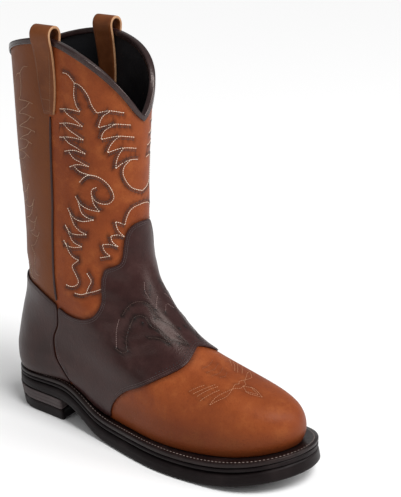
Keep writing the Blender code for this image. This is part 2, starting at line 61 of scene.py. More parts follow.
class Shade:
    """A value or a colour that runs through a finish; sums on it add their Math nodes."""

    def __init__(self, tree, socket=None):
        self.tree = tree
        self.socket = socket

    def node(self, kind, settings=None, inputs=None, output=0):
        made = self.tree.nodes.new(kind)
        for key, value in (settings or {}).items():
            setattr(made, key, value)
        for key, value in (inputs or {}).items():
            self.feed(made.inputs[key], value)
        return Shade(self.tree, made.outputs[output])

    def feed(self, socket, value):
        if isinstance(value, Shade):
            self.tree.links.new(value.socket, socket)
        else:
            socket.default_value = value

    def sum(self, operation, first, second):
        return self.node("ShaderNodeMath", {"operation": operation}, {0: first, 1: second})

    def __add__(self, other):
        return self.sum("ADD", self, other)

    __radd__ = __add__

    def __sub__(self, other):
        return self.sum("SUBTRACT", self, other)

    def __rsub__(self, other):
        return self.sum("SUBTRACT", other, self)

    def __mul__(self, other):
        return self.sum("MULTIPLY", self, other)

    def held(self, low=0.0, high=1.0):
        return self.node("ShaderNodeClamp", {}, {0: self, 1: low, 2: high})

    def mixed(self, first, second):
        """This value as the share of the second colour in the first."""
        colours = {0: self, FIRST_COLOUR: first, SECOND_COLOUR: second}
        return self.node("ShaderNodeMix", {"data_type": "RGBA"}, colours, MIXED_COLOUR)

    def noise(self, place, scale, detail, **more):
        """A noise of one scale; more holds its other inputs, each by its name in lower case."""
        inputs = {"Vector": place, "Scale": scale, "Detail": detail}
        inputs.update({key.capitalize(): value for key, value in more.items()})
        return self.node("ShaderNodeTexNoise", {}, inputs)


def leather(name, body, deep, glow, gloss, grain=1.0, coat=0.0, shine=0.28):
    """Waxed leather: pores and fine wrinkles, cloudy pull-up tones, a browner tone where the point attribute
    "panel" is 1, and a dark, slightly sunken tone from the point attribute of burnish and shade: burnish
    beside the stitching and seams, and painted shade towards the welt."""
    material = bpy.data.materials.new(name)
    material.use_nodes = True
    shader = material.node_tree.nodes["Principled BSDF"]
    start = Shade(material.node_tree)
    place = start.node("ShaderNodeTexCoord", output=OBJECT_PLACE)
    broad = start.noise(place, 17.0, 3.0)
    cloud = start.noise(place, 75.0, 5.0, roughness=0.62)
    speck = start.noise(place, 620.0, 3.0)
    pores = start.node("ShaderNodeTexVoronoi", {}, {"Vector": place, "Scale": 820.0, "Randomness": 1.0})
    wrinkle = start.noise(place, 340.0, 6.0, distortion=0.6)
    burnish_and_shade = start.node("ShaderNodeAttribute", {"attribute_name": "burnish_and_shade"}, output=FACTOR)
    panel = start.node("ShaderNodeAttribute", {"attribute_name": "panel"}, output=FACTOR)
    tone = ((broad - 0.42) * 2.4).held().mixed((*body, 1.0), (*deep, 1.0))
    tone = ((cloud - 0.50) * 2.2).held().mixed(tone, (*glow, 1.0))
    tone = ((0.46 - cloud) * 2.6).held(0.0, 0.6).mixed(tone, (*deep, 1.0))
    tone = ((speck - 0.56) * 2.0).held(0.0, 0.35).mixed(tone, (*deep, 1.0))
    browner = (body[0] * 0.52, body[1] * 0.72, body[2] * 0.80, 1.0)
    tone = (panel * 0.8).held(0.0, 0.8).mixed(tone, browner)
    # Burnish and painted shade: where the attribute is set, the tone goes patchily towards a deep shadow
    # colour.
    shadow = tuple(c * 0.30 for c in deep)
    patchy = burnish_and_shade * (cloud * 2.2 - 0.10 + speck * 0.5)
    tone = patchy.held(0.0, 0.88).mixed(tone, (*shadow, 1.0))
    start.feed(shader.inputs["Base Color"], tone)
    roughness = gloss + (cloud - 0.5) * 0.30 + (broad - 0.5) * 0.16
    start.feed(shader.inputs["Roughness"], roughness.held(0.2, 0.9))
    height = pores * 0.55 + wrinkle * 0.9 + speck * 0.3 - burnish_and_shade * 1.6
    bump = start.node("ShaderNodeBump", {}, {"Strength": 0.42 * grain, "Distance": 0.00035, "Height": height})
    start.feed(shader.inputs["Normal"], bump)
    shader.inputs["Specular IOR Level"].default_value = shine
    shader.inputs["Specular Tint"].default_value = (1.0, 0.84, 0.78, 1.0)
    shader.inputs["Coat Weight"].default_value = coat
    shader.inputs["Coat Roughness"].default_value = 0.32
    return material


def only(thing):
    """Selects one object and makes it the active one."""
    bpy.ops.object.select_all(action="DESELECT")
    thing.select_set(True)
    bpy.context.view_layer.objects.active = thing


def taken_from(node, name):
    """A copy of a CAD node with its corners merged and its facets paired into four-sided faces."""
    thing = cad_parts[node].copy()
    thing.data = thing.data.copy()
    thing.name = name
    thing.parent = None
    for key in list(thing.keys()):
        del thing[key]
    bpy.context.scene.collection.objects.link(thing)
    thing.data.materials.clear()
    only(thing)
    bpy.ops.object.mode_set(mode="EDIT")
    bpy.ops.mesh.select_all(action="SELECT")
    bpy.ops.mesh.remove_doubles(threshold=0.00002)
    bpy.ops.mesh.tris_convert_to_quads(face_threshold=1.2, shape_threshold=1.2)
    bpy.ops.object.mode_set(mode="OBJECT")
    return thing


def apply_all(thing):
    only(thing)
    for modifier in list(thing.modifiers):
        bpy.ops.object.modifier_apply(modifier=modifier.name)


SMOOTH_LEVELS = 2


def smoothed(thing, crease, sharp=0.7):
    """Subdivides a piece; crease is how firmly its edges hold that turn by more than the angle sharp."""
    only(thing)
    bpy.ops.object.mode_set(mode="EDIT")
    bpy.ops.mesh.select_mode(type="EDGE")
    bpy.ops.mesh.select_all(action="DESELECT")
    bpy.ops.mesh.edges_select_sharp(sharpness=sharp)
    bpy.ops.object.mode_set(mode="OBJECT")
    picked = [edge.select for edge in thing.data.edges]
    held = thing.data.attributes.new("crease_edge", "FLOAT", "EDGE")
    held.data.foreach_set("value", np.array(picked, np.float32) * crease)
    modifier = thing.modifiers.new("smooth", "SUBSURF")
    modifier.levels = SMOOTH_LEVELS
    modifier.render_levels = SMOOTH_LEVELS
    apply_all(thing)
    bpy.ops.object.shade_smooth()
    return thing


def corners_of(thing):
    found = np.empty(len(thing.data.vertices) * 3)
    thing.data.vertices.foreach_get("co", found)
    return found.reshape(-1, 3)


def normals_of(thing):
    return np.array([tuple(n.vector) for n in thing.data.vertex_normals])


def place_corners(thing, corners):
    thing.data.vertices.foreach_set("co", corners.ravel())
    thing.data.update()


def tree_of(thing):
    faces = [tuple(face.vertices) for face in thing.data.polygons]
    return BVHTree.FromPolygons([corner.co for corner in thing.data.vertices], faces)


def flowing(points, steps=6):
    """A smooth line through a few given points."""
    rows = np.array(points, float)
    if len(rows) == 2:
        return rows[0] + (rows[1] - rows[0]) * np.linspace(0, 1, steps * 2)[:, None]
    padded = np.vstack([2 * rows[0] - rows[1], rows, 2 * rows[-1] - rows[-2]])
    line = []
    for i in range(len(rows) - 1):
        p0, p1, p2, p3 = padded[i:i + 4]
        for k in range(steps):
            s = k / steps
            line.append(0.5 * (2 * p1 + (p2 - p0) * s + (2 * p0 - 5 * p1 + 4 * p2 - p3) * s**2
                               + (3 * p1 - p0 - 3 * p2 + p3) * s**3))
    line.append(rows[-1])
    return np.array(line)


tan_leather = leather(
    "tan_leather", (0.238, 0.054, 0.0135), (0.140, 0.026, 0.007), (0.330, 0.094, 0.025), 0.48, shine=0.16
)
lining_leather = leather(
    "lining_leather", (0.010, 0.010, 0.012), (0.004, 0.004, 0.005), (0.019, 0.019, 0.021), 0.62, shine=0.2
)

upper = taken_from("upper", "upper_leather")
smoothed(upper, crease=0.8, sharp=1.0)

# The shaft's own axis, from which places on the shaft are given as an angle (0 at the back, 90 at the outer
# side, 180 in front) and a height in millimetres.
SHAFT_MIDDLE = Vector((0.0, 0.080, 0.0))
shell = tree_of(upper)
FAR_OUT = 0.3
ABOVE_FOOT = 0.16
BESIDE_MIDDLE = 0.01


def on_shaft(angle, height, skin=None):
    """The point of the shaft's outside at an angle and a height, looked for no farther in than its axis."""
    turn = math.radians(angle)
    way = Vector((-math.sin(turn), math.cos(turn), 0.0))
    middle = SHAFT_MIDDLE + Vector((0.0, 0.0, height * MM))
    hit = (skin or shell).ray_cast(middle + way * FAR_OUT, -way, FAR_OUT)
    return hit[0], hit[1]


def on_foot(x, y):
    """The point of the foot's top at a place seen from above, in millimetres."""
    hit = shell.ray_cast(Vector((x * MM, y * MM, ABOVE_FOOT)), Vector((0, 0, -1)))
    return hit[0], hit[1]


def on_side(side, y, z, skin=None):
    """The point of the boot's side at a length and a height, in millimetres. side is -1 for the outer one."""
    hit = (skin or shell).ray_cast(Vector((side * FAR_OUT, y * MM, z * MM)), Vector((-side, 0, 0)))
    if hit[0] is None:
        hit = (skin or shell).find_nearest(Vector((side * BESIDE_MIDDLE, y * MM, z * MM)))
    return hit[0], hit[1]


# Creases: side, length and height of their points in mm, then depth and half width in mm.
CREASES = (
    (((-1, 40, 152), (-1, 24, 141), (-1, 12, 137)), 1.0, 6.0),
    (((-1, 58, 138), (-1, 40, 128), (-1, 20, 124), (-1, 8, 126)), 1.1, 6.0),
    (((-1, 40, 112), (-1, 20, 110), (-1, 2, 113)), 0.9, 5.5),
    (((-1, 22, 98), (-1, 4, 98), (-1, -10, 103)), 0.7, 5.0),
    (((-1, 6, 84), (-1, -12, 86), (-1, -26, 91)), 0.5, 5.0),
    (((-1, 100, 150), (-1, 116, 138), (-1, 130, 132)), 0.8, 6.0),
    (((-1, 96, 176), (-1, 112, 166), (-1, 128, 163)), 0.5, 7.0),
    (((1, 44, 150), (1, 26, 138), (1, 12, 134)), 1.0, 6.0),
    (((1, 56, 130), (1, 34, 122), (1, 12, 121)), 1.0, 6.0),
    (((1, 34, 108), (1, 14, 107), (1, -2, 110)), 0.8, 5.5),
    (((1, 14, 94), (1, -6, 93), (1, -18, 98)), 0.6, 5.0),
    (((1, 104, 146), (1, 118, 136), (1, 130, 134)), 0.7, 6.0),
    (((-1, 30, 196), (-1, 20, 186), (-1, 10, 182)), 0.5, 8.0),
    (((1, 34, 200), (1, 22, 190), (1, 11, 188)), 0.5, 8.0),
)
CREASE_GAIN = 1.3
LIP_SHARE = 0.55
LIP_AT = 2.0
LIP_WIDTH = 0.9
ANKLE_BEND = 0.12
FOOT_CORE = 0.05
skin_corners = corners_of(upper)
skin_normals = normals_of(upper)
low_part = skin_corners[:, 2] < ANKLE_BEND
middles = np.column_stack([
    0 * skin_corners[:, 0],
    np.where(low_part, skin_corners[:, 1], SHAFT_MIDDLE.y),
    np.where(low_part, FOOT_CORE, skin_corners[:, 2]),
])
faces_out = np.sign(((skin_corners - middles) * skin_normals).sum(axis=1))[:, None] * skin_normals
shift = np.zeros(len(skin_corners))
for points, depth, width in CREASES:
    fold = np.array([tuple(on_side(*point)[0]) for point in points])
    fold = flowing(fold, 8)
    steps = np.linalg.norm(skin_corners[:, None, :] - fold[None, :, :], axis=2)
    nearest = steps.argmin(axis=1)
    away = steps.min(axis=1) / (width * MM)
    fade = np.sin(np.pi * np.clip(nearest / (len(fold) - 1), 0.04, 0.96)) ** 0.6
    lips = LIP_SHARE * np.exp(-((away - LIP_AT) / LIP_WIDTH) ** 2)
    shift += fade * depth * CREASE_GAIN * MM * (lips - np.exp(-away**2))
place_corners(upper, skin_corners + faces_out * shift[:, None])
shell = tree_of(upper)

upper.data.materials.append(tan_leather)
upper.data.materials.append(lining_leather)
TUBE_FROM = 0.200
CAVITY_LENGTH = 0.16
CAVITY_REACH = 0.13
CAVITY_WIDTH = 30 * MM


def is_lining(face):
    """Whether a face looks into the boot. High up and at the back such a face is turned to the shaft's axis;
    elsewhere it has the boot's wall before it or at both sides of it."""
    if face.center.z > TUBE_FROM or face.center.y > SHAFT_MIDDLE.y:
        outwards = (face.center - SHAFT_MIDDLE).to_2d()
        return face.normal.to_2d().dot(outwards) < 0
    spot = face.center + face.normal * 0.4 * MM
    ahead = shell.ray_cast(spot, face.normal, CAVITY_LENGTH)[0]
    left = shell.ray_cast(spot, Vector((-1, 0, 0)), CAVITY_REACH)[3]
    right = shell.ray_cast(spot, Vector((1, 0, 0)), CAVITY_REACH)[3]
    between = left is not None and right is not None and left + right > CAVITY_WIDTH
    return ahead is not None or between


for face in upper.data.polygons:
    face.material_index = 1 if is_lining(face) else 0
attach(upper, "root")
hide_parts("upper")

# Vamp and counter: a saddle of dark waxed leather over the instep with an ear up each side and a tongue in
# front, and a heel cover of the same leather. They are skived, laid on the tan boot and stitched twice round.
brown_leather = leather(
    "brown_leather", (0.0290, 0.0100, 0.0095), (0.013, 0.0048, 0.0048), (0.052, 0.023, 0.021), 0.37,
    grain=0.8, shine=0.24,
)
COVER_GAP = 0.45 * MM
COVER_THICKNESS = 1.15 * MM
SAME_WAY = 0.5


def cover(node, name, thickness=COVER_THICKNESS):
    """A leather cover: the node's outer skin, fitted to the smooth boot, given its thickness and a soft edge.
    Also gives the line of its edge, with the way inwards at each point."""
    thing = taken_from(node, name)
    inner = tree_of(upper)
    drop = []
    for face in thing.data.polygons:
        normal = inner.find_nearest(face.center)[1]
        drop.append(face.normal.dot(normal) < SAME_WAY)
    only(thing)
    bpy.ops.object.mode_set(mode="EDIT")
    bpy.ops.mesh.select_mode(type="FACE")
    bpy.ops.mesh.select_all(action="DESELECT")
    bpy.ops.object.mode_set(mode="OBJECT")
    thing.data.polygons.foreach_set("select", drop)
    bpy.ops.object.mode_set(mode="EDIT")
    bpy.ops.mesh.delete(type="FACE")
    bpy.ops.object.mode_set(mode="OBJECT")
    smooth = thing.modifiers.new("smooth", "SUBSURF")
    smooth.levels = SMOOTH_LEVELS
    smooth.render_levels = SMOOTH_LEVELS
    smooth.boundary_smooth = "ALL"
    apply_all(thing)
    outer_skin = []
    for point in corners_of(thing):
        spot, normal, _, _ = inner.find_nearest(Vector(point))
        outer_skin.append(tuple(spot + normal * COVER_GAP))
    place_corners(thing, np.array(outer_skin))
    line = edge_of(thing)
    solid = thing.modifiers.new("thickness", "SOLIDIFY")
    solid.thickness = thickness
    solid.offset = 1.0
    solid.use_even_offset = False
    soft = thing.modifiers.new("soft_edge", "BEVEL")
    soft.width = 0.35 * MM
    soft.segments = 2
    soft.limit_method = "ANGLE"
    soft.angle_limit = 0.9
    apply_all(thing)
    bpy.ops.object.shade_smooth()
    return thing, line


def edge_of(sheet):
    """The points round an open sheet, with the sheet's normal and the way inwards at each."""
    uses = {}
    for face in sheet.data.polygons:
        for key in face.edge_keys:
            uses[key] = uses.get(key, 0) + 1
    follows = {}
    for (a, b), times in uses.items():
        if times == 1:
            follows.setdefault(a, []).append(b)
            follows.setdefault(b, []).append(a)
    start = min(follows)
    order = [start]
    before = None
    while True:
        after = [k for k in follows[order[-1]] if k != before][0]
        if after == start:
            break
        before = order[-1]
        order.append(after)
    corners = corners_of(sheet)[order]
    normals = normals_of(sheet)[order]
    run = np.roll(corners, -1, axis=0) - np.roll(corners, 1, axis=0)
    inwards = np.cross(normals, run)
    inwards /= np.linalg.norm(inwards, axis=1, keepdims=True)
    inner = tree_of(sheet)
    probe = Vector(corners[3] + inwards[3] * 2 * MM)
    if (inner.find_nearest(probe)[0] - probe).length > 1.2 * MM:
        inwards = -inwards
    return corners, normals, inwards


vamp, vamp_edge = cover("vamp", "vamp_cover")
counter, counter_edge = cover("counter", "counter_cover")
for piece, node in ((vamp, "vamp"), (counter, "counter")):
    piece.data.materials.append(brown_leather)
    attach(piece, "root")
    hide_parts(node)

# Side piping: a narrow dark strip of leather over the seam where the front and back of the shaft join, on
# each side, from the counter up to the pull strap.
for side in ("outer", "inner"):
    strip, _ = cover("side_piping_" + side, "seam_strip_" + side, thickness=0.8 * MM)
    strip.data.materials.append(brown_leather)
    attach(strip, "root")
    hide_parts("side_piping_" + side)

# Collar binding: a strip of polished dark leather folded over the top edge of the shaft and its lining, and
# sewn through with one row.
binding_leather = leather(
    "binding_leather", (0.020, 0.009, 0.009), (0.010, 0.005, 0.005), (0.050, 0.026, 0.024), 0.26,
    grain=0.5, coat=0.20, shine=0.3,
)
binding = smoothed(taken_from("collar_binding", "collar_edge"), crease=0.55)
binding.data.materials.append(binding_leather)
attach(binding, "root")
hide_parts("collar_binding")

# Pull straps: two layers of tan leather back to back, folded over the collar into a finger loop and sewn to
# the shaft inside and outside. Their cut edges are left pale.
strap_leather = leather(
    "strap_leather", (0.150, 0.045, 0.013), (0.085, 0.023, 0.007), (0.215, 0.072, 0.024), 0.50, shine=0.20
)
cut_leather = leather(
    "cut_leather", (0.420, 0.230, 0.120), (0.260, 0.120, 0.055), (0.520, 0.310, 0.180), 0.70, grain=1.4
)
EDGE_FACING = 0.72
for side in ("outer", "inner"):
    strap = smoothed(taken_from("pull_strap_" + side, "strap_" + side), crease=0.75)
    strap.data.materials.append(strap_leather)
    strap.data.materials.append(cut_leather)
    for face in strap.data.polygons:
        face.material_index = 1 if abs(face.normal.y) > EDGE_FACING else 0
    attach(strap, "root")
    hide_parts("pull_strap_" + side)

# Welt: a flat strip of black-brown leather round the sole's edge, which the upper is sewn to. It has a groove
# for its stitches and a trimmed, waxed edge.
welt_leather = leather(
    "welt_leather", (0.0100, 0.0055, 0.0055), (0.004, 0.0026, 0.0028), (0.028, 0.0165, 0.016), 0.36,
    grain=1.2, coat=0.10, shine=0.18,
)
welt = smoothed(taken_from("welt", "welt_strip"), crease=0.85)
welt.data.materials.append(welt_leather)
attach(welt, "root")
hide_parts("welt")


# Sole: a black rubber midsole and outsole, glued in layers and ground smooth round the edge, with a stacked
# heel above a black rubber lift. The layers' joins show as fine lines round the edge.
def rubber(name, body, dust, gloss, layer=0.0):
    """Ground rubber or leather board: fine scratches along the edge, thin layer lines, dust in its pits."""
    material = bpy.data.materials.new(name)
    material.use_nodes = True
    shader = material.node_tree.nodes["Principled BSDF"]
    start = Shade(material.node_tree)
    place = start.node("ShaderNodeTexCoord", output=OBJECT_PLACE)
    cloud = start.noise(place, 60.0, 5.0)
    grit = start.noise(place, 900.0, 3.0)
    drawn = start.node("ShaderNodeMapping", {}, {"Vector": place, "Scale": (35.0, 35.0, 900.0)})
    scratch = start.noise(drawn, 1.0, 4.0)
    tone = ((cloud - 0.45) * 2.0).held().mixed((*body, 1.0), (*dust, 1.0))
    tone = ((scratch - 0.55) * 2.5).held(0.0, 0.6).mixed(tone, (*dust, 1.0))
    height = grit * 0.5 + scratch * 0.8
    if layer:
        apart = start.node("ShaderNodeSeparateXYZ", {}, {0: place}, UP_AXIS)
        phase = start.node("ShaderNodeMath", {"operation": "FRACT"}, {0: apart * (1.0 / layer)})
        line = start.node("ShaderNodeMath", {"operation": "LESS_THAN"}, {0: phase, 1: 0.14})
        tone = (line * 0.75).mixed(tone, tuple(c * 0.25 for c in body) + (1.0,))
        height = height - line * 0.8
    start.feed(shader.inputs["Base Color"], tone)
    start.feed(shader.inputs["Roughness"], (gloss + (cloud - 0.5) * 0.3).held(0.25, 0.95))
    bump = start.node("ShaderNodeBump", {}, {"Strength": 0.5, "Distance": 0.0004, "Height": height})
    start.feed(shader.inputs["Normal"], bump)
    shader.inputs["Specular IOR Level"].default_value = 0.10
    return material


sole_rubber = rubber("sole_rubber", (0.0068, 0.0042, 0.0044), (0.017, 0.0115, 0.0115), 0.42)
stacked_leather = rubber(
    "stacked_leather", (0.060, 0.046, 0.046), (0.110, 0.088, 0.086), 0.46, layer=3.4 * MM
)
insole_board = rubber("insole_board", (0.090, 0.062, 0.042), (0.130, 0.095, 0.065), 0.80)
for node, name, finish, slot in (
    ("midsole", "midsole_layer", sole_rubber, "sole_rubber"),
    ("outsole", "outsole_layer", sole_rubber, "sole_rubber"),
    ("heel_lift", "heel_lift_layer", sole_rubber, "sole_rubber"),
    ("heel_stack", "heel_stack_layers", stacked_leather, "stacked_leather"),
    ("insole", "insole_layer", insole_board, "insole_board"),
):
    layer = smoothed(taken_from(node, name), crease=0.93, sharp=0.5)
    layer.data.materials.append(finish)
    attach(layer, "root")
    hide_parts(node)


# Stitching: waxed thread laid in rows of short stitches. Each stitch is one small bead that dips into the
# leather at its ends; the rows are smooth lines drawn on the shaft, the vamp and the welt.
def thread_finish(name, body, shade):
    material = bpy.data.materials.new(name)
    material.use_nodes = True
    shader = material.node_tree.nodes["Principled BSDF"]
    start = Shade(material.node_tree)
    place = start.node("ShaderNodeTexCoord", output=OBJECT_PLACE)
    twist = start.noise(place, 1500.0, 2.0)
    soil = start.noise(place, 90.0, 3.0)
    tone = ((soil - 0.4) * 2.0).held().mixed((*body, 1.0), (*shade, 1.0))
    start.feed(shader.inputs["Base Color"], tone)
    bump = start.node("ShaderNodeBump", {}, {"Strength": 0.4, "Distance": 0.0002, "Height": twist})
    start.feed(shader.inputs["Normal"], bump)
    shader.inputs["Roughness"].default_value = 0.6
    return material


pale_thread = thread_finish("pale_thread", (0.86, 0.72, 0.58), (0.56, 0.37, 0.25))
dark_thread = thread_finish("dark_thread", (0.060, 0.026, 0.018), (0.030, 0.014, 0.011))
brown_thread = thread_finish("brown_thread", (0.070, 0.045, 0.044), (0.012, 0.008, 0.008))
faded_thread = thread_finish("faded_thread", (0.460, 0.300, 0.190), (0.240, 0.120, 0.065))

bpy.ops.object.select_all(action="DESELECT")
bpy.ops.mesh.primitive_uv_sphere_add(segments=6, ring_count=5, radius=0.5)
bead = bpy.context.view_layer.objects.active
bpy.ops.object.mode_set(mode="EDIT")
bpy.ops.mesh.select_all(action="SELECT")
bpy.ops.transform.rotate(value=math.pi / 2, orient_axis="Y", center_override=(0, 0, 0))
bpy.ops.object.mode_set(mode="OBJECT")
bead_corners = corners_of(bead)
bead_faces = [tuple(face.vertices) for face in bead.data.polygons]
bpy.data.objects.remove(bead)


def sewn(name, rows, finish, stitch, width, rise=0.55, share=0.86):
    """One piece of thread: rows of points with the leather's normals, filled with stitches of one length.
    rise lifts the stitches out of the leather, and share is how much of its length each one fills."""
    corners = []
    faces = []
    for points, normals in rows:
        points = np.array(points, float)
        normals = np.array(normals, float)
        lengths = np.concatenate([[0], np.cumsum(np.linalg.norm(np.diff(points, axis=0), axis=1))])
        count = max(1, int(round(lengths[-1] / stitch)))
        marks = np.linspace(0, lengths[-1], count + 1)
        spots = np.column_stack([np.interp(marks, lengths, points[:, k]) for k in range(3)])
        leans = np.column_stack([np.interp(marks, lengths, normals[:, k]) for k in range(3)])
        for k in range(count):
            along = spots[k + 1] - spots[k]
            long = np.linalg.norm(along)
            if long < 1e-7:
                continue
            along /= long
            up = leans[k] + leans[k + 1]
            up -= along * (up @ along)
            up /= max(np.linalg.norm(up), 1e-9)
            across = np.cross(up, along)
            middle = (spots[k] + spots[k + 1]) / 2 + up * width * (rise - 0.5)
            sized = bead_corners * (long * share, width, width)
            base = len(corners) * len(bead_corners)
            corners.append(middle + sized @ np.array([along, across, up]))
            faces.extend(tuple(base + i for i in face) for face in bead_faces)
    mesh = bpy.data.meshes.new(name)
    mesh.from_pydata([tuple(p) for p in np.vstack(corners)], [], faces)
    thread = bpy.data.objects.new(name, mesh)
    bpy.context.scene.collection.objects.link(thread)
    thread.data.materials.append(finish)
    only(thread)
    bpy.ops.object.shade_smooth()
    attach(thread, "root")


def row_of(hits):
    """A row of points and of the leather's normals there, from places found on it."""
    return [tuple(hit[0]) for hit in hits], [tuple(hit[1]) for hit in hits]


# Flames on the shaft, drawn for the outer half and sewn alike on the inner half, each point an angle and a
# height. The back of the shaft has the same flames turned the other way, in a fainter thread.
FLAMES = (
    ((112, 313), (119, 312), (126, 306)),
    ((126, 306), (125, 296), (127, 288), (131, 283)),
    ((126, 306), (132, 304), (138, 297), (141, 289), (145, 283)),
    ((131, 283), (118, 284), (106, 283)),
    ((112, 283), (118, 279), (125, 276), (133, 271)),
    ((133, 271), (119, 272.5), (105, 271)),
    ((111, 271.5), (118, 267), (125, 264), (133.5, 260)),
    ((133.5, 260), (119, 261), (104, 259.5)),
    ((111, 260), (117, 256), (126, 253), (135, 248.5)),
    ((135, 248.5), (123, 250.5), (111, 248.5)),
    ((117, 249), (122, 244), (129, 241.5), (138, 238)),
    ((138, 238), (127, 239), (117, 236)),
    ((123, 237), (129, 233), (136, 231.5), (143, 230.5)),
    ((143, 230.5), (137, 231), (132, 228), (128, 224)),
    ((132, 228), (138, 231), (147, 229), (154, 222), (157, 213), (154, 208), (149, 207), (143, 209),
     (139.5, 214), (140, 219), (144, 221)),
    ((139.5, 214), (141, 207), (146, 200.5)),
    ((146, 200.5), (136, 202), (128, 206), (123, 212)),
    ((126, 208), (129, 199), (134, 195), (141, 193)),
    ((141, 193), (129, 191), (119, 194), (113, 201)),
    ((116, 196.5), (120, 188), (126, 183), (134, 180)),
    ((134, 180), (124, 179), (115, 180), (109, 186)),
    ((112, 183), (117, 174), (122, 171), (129, 169)),
    ((129, 169), (120, 167.5), (111, 168), (106, 172.5)),
    ((108.5, 170), (113, 163), (118, 159), (125, 157)),
    ((125, 157), (119, 153), (117, 150), (122, 143), (124, 137), (117, 133), (108, 133.5)),
    ((119.5, 128), (126, 127.5), (132, 129), (140, 132), (146, 135.5)),
    ((132, 129), (135, 136), (137, 141), (133, 147)),
    ((145, 283), (154, 285), (164, 283)),
    ((154, 284.5), (149, 280), (147, 275), (146, 271)),
    ((146, 271), (157, 274), (169, 272.5)),
    ((158, 274), (152, 270), (149, 266), (148, 261.5)),
    ((148, 261.5), (160, 264), (172, 262)),
    ((161, 264), (157, 260), (154, 255), (152.5, 250.5)),
    ((152.5, 250.5), (163, 254), (174, 252.5)),
    ((164, 254), (161, 249), (159, 243), (158.5, 237)),
    ((158.5, 237), (163, 241), (169, 243.5), (175.5, 243)),
    ((169, 243), (165, 239), (163.7, 233), (166, 226), (171, 219.5), (180, 215.5)),
    ((165, 189), (165.7, 194), (168, 200), (172, 203.5), (180, 205)),
    ((158, 192), (161, 191), (165, 189)),
    ((158, 192), (159.5, 185), (164, 179)),
    ((164, 179), (159, 181), (154, 180)),
    ((154, 180), (155, 175), (159, 171)),
    ((159, 171), (153, 173), (147.5, 172.5)),
    ((147.5, 172.5), (149, 167), (153, 163)),
    ((153, 163), (149, 162), (145, 161)),
)
FLAME_SPINE = ((320, 128), (283, 138), (250, 143), (215, 148), (190, 148), (160, 140), (120, 140))
BACK_TURN = 168
BACK_STROKES = 27
BACK_FLAMES = tuple(
    tuple((BACK_TURN - angle, height) for angle, height in stroke) for stroke in FLAMES[:BACK_STROKES]
)
AIM_BELOW = 4


def spine_at(height):
    heights = [row[0] for row in FLAME_SPINE][::-1]
    angles = [row[1] for row in FLAME_SPINE][::-1]
    return float(np.interp(height, heights, angles))


def shaft_rows(table, beside=0.0):
    """Rows of points on both halves of the shaft; beside moves each over the leather, towards the spine."""
    rows = []
    for mirror in (1, -1):
        for stroke in table:
            line = flowing(stroke)
            hits = [on_shaft(mirror * angle, height) for angle, height in line]
            hits = [hit for hit in hits if hit[0] is not None]
            points = np.array([tuple(hit[0]) for hit in hits])
            normals = np.array([tuple(hit[1]) for hit in hits])
            if beside:
                run = np.gradient(points, axis=0)
                across = np.cross(normals, run)
                across /= np.maximum(np.linalg.norm(across, axis=1, keepdims=True), 1e-9)
                centre = line[len(line) // 2]
                aim = on_shaft(mirror * spine_at(centre[1]), centre[1] - AIM_BELOW)[0]
                middle = points[len(points) // 2]
                toward = np.array(aim) - middle if aim is not None else np.array((0, 0, -1.0))
                if across[len(points) // 2] @ toward < 0:
                    across = -across
                points = points + across * beside
            rows.append((points, normals))
    return rows


DARK_BESIDE = (1.3, 2.4)
sewn("flame_stitching", shaft_rows(FLAMES), pale_thread, stitch=1.9 * MM, width=0.55 * MM)
for number, beside in enumerate(DARK_BESIDE):
    dark_name = "flame_stitching_dark_" + str(number + 1)
    sewn(dark_name, shaft_rows(FLAMES, beside * MM), dark_thread, stitch=1.9 * MM, width=0.6 * MM)
back_rows = shaft_rows(BACK_FLAMES)
sewn("back_stitching", back_rows, faded_thread, stitch=1.9 * MM, width=0.45 * MM)

# The waxed leather is burnished darker beside the stitching, along the seams and where the covers meet it.
marks = [p for points, _ in shaft_rows(FLAMES, 2.2 * MM) for p in points[::2]]
faint = [p for points, _ in back_rows for p in points[::2]]
seams = list(vamp_edge[0]) + list(counter_edge[0])


def nearness(corners, spots, reach):
    """How near each corner lies to the nearest spot: 1 at it, falling softly over the reach."""
    tree = kdtree.KDTree(len(spots))
    for k, spot in enumerate(spots):
        tree.insert(Vector(spot), k)
    tree.balance()
    far = np.array([tree.find(Vector(corner))[2] for corner in corners])
    return np.exp(-(far / reach) ** 2)


upper_corners = corners_of(upper)
dark = np.zeros(len(upper_corners))
for spots, strength, reach in ((marks, 0.66, 1.9), (faint, 0.30, 1.8), (seams, 0.55, 2.4)):
    dark = np.maximum(dark, strength * nearness(upper_corners, spots, reach * MM))


def marked(thing, name, values):
    """Gives each corner of a piece its value of a point attribute."""
    kept = thing.data.attributes.new(name, "FLOAT", "POINT")
    kept.data.foreach_set("value", values.astype(np.float32))


PANEL_FROM = 0.07
behind = (upper_corners[:, 1] > SHAFT_MIDDLE.y + 1.0 * MM) & (upper_corners[:, 2] > PANEL_FROM)
marked(upper, "panel", behind * 1.0)


# Rows along the covers' edges, set in from the cut edge, in brown thread.
FEWEST_POINTS = 4


def edge_rows(edge, inset, skin, keep):
    """Rows set in from an edge on the cover's face, in the stretches that keep(point) accepts."""
    corners, normals, inwards = edge
    rows = []
    points = []
    leans = []
    for corner, normal, inward in zip(corners, normals, inwards):
        if keep(corner):
            spot, lean, _, _ = skin.find_nearest(Vector(corner + inward * inset + normal * 2.5 * MM))
            points.append(tuple(spot))
            leans.append(tuple(lean))
        else:
            rows.append((points, leans))
            points, leans = [], []
    rows.append((points, leans))
    return [row for row in rows if len(row[0]) >= FEWEST_POINTS]


